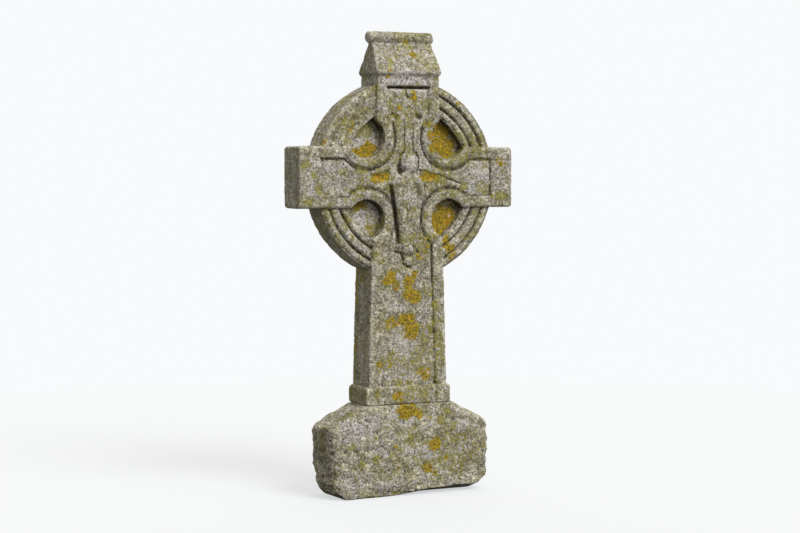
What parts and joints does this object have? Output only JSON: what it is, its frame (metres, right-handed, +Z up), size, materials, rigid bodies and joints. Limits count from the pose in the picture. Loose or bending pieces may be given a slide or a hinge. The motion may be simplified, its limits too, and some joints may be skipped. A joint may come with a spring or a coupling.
{
  "type": "ringed cross memorial",
  "caption": "Weathered stone ringed cross with a gabled cap, moulded ring, bordered arms and a worn relief figure, standing on a rough-hewn plinth.",
  "frame": {"origin": "middle of the plinth's underside, on the ground", "axes": "+Z up the cross, +X along the arms to the right seen from the carved front, +Y from the carved front to the back"},
  "size_m": [0.77, 0.1716, 1.5],
  "materials": {
    "hewn_stone": "rough-hewn, weathered grey-green, speckled with lichen",
    "carved_stone": "tooled and worn, granular grey, ochre and yellow-green lichen"
  },
  "bodies": {
    "root": {"plinth": "hewn_stone", "cross": "carved_stone"}
  },
  "joints": []
}
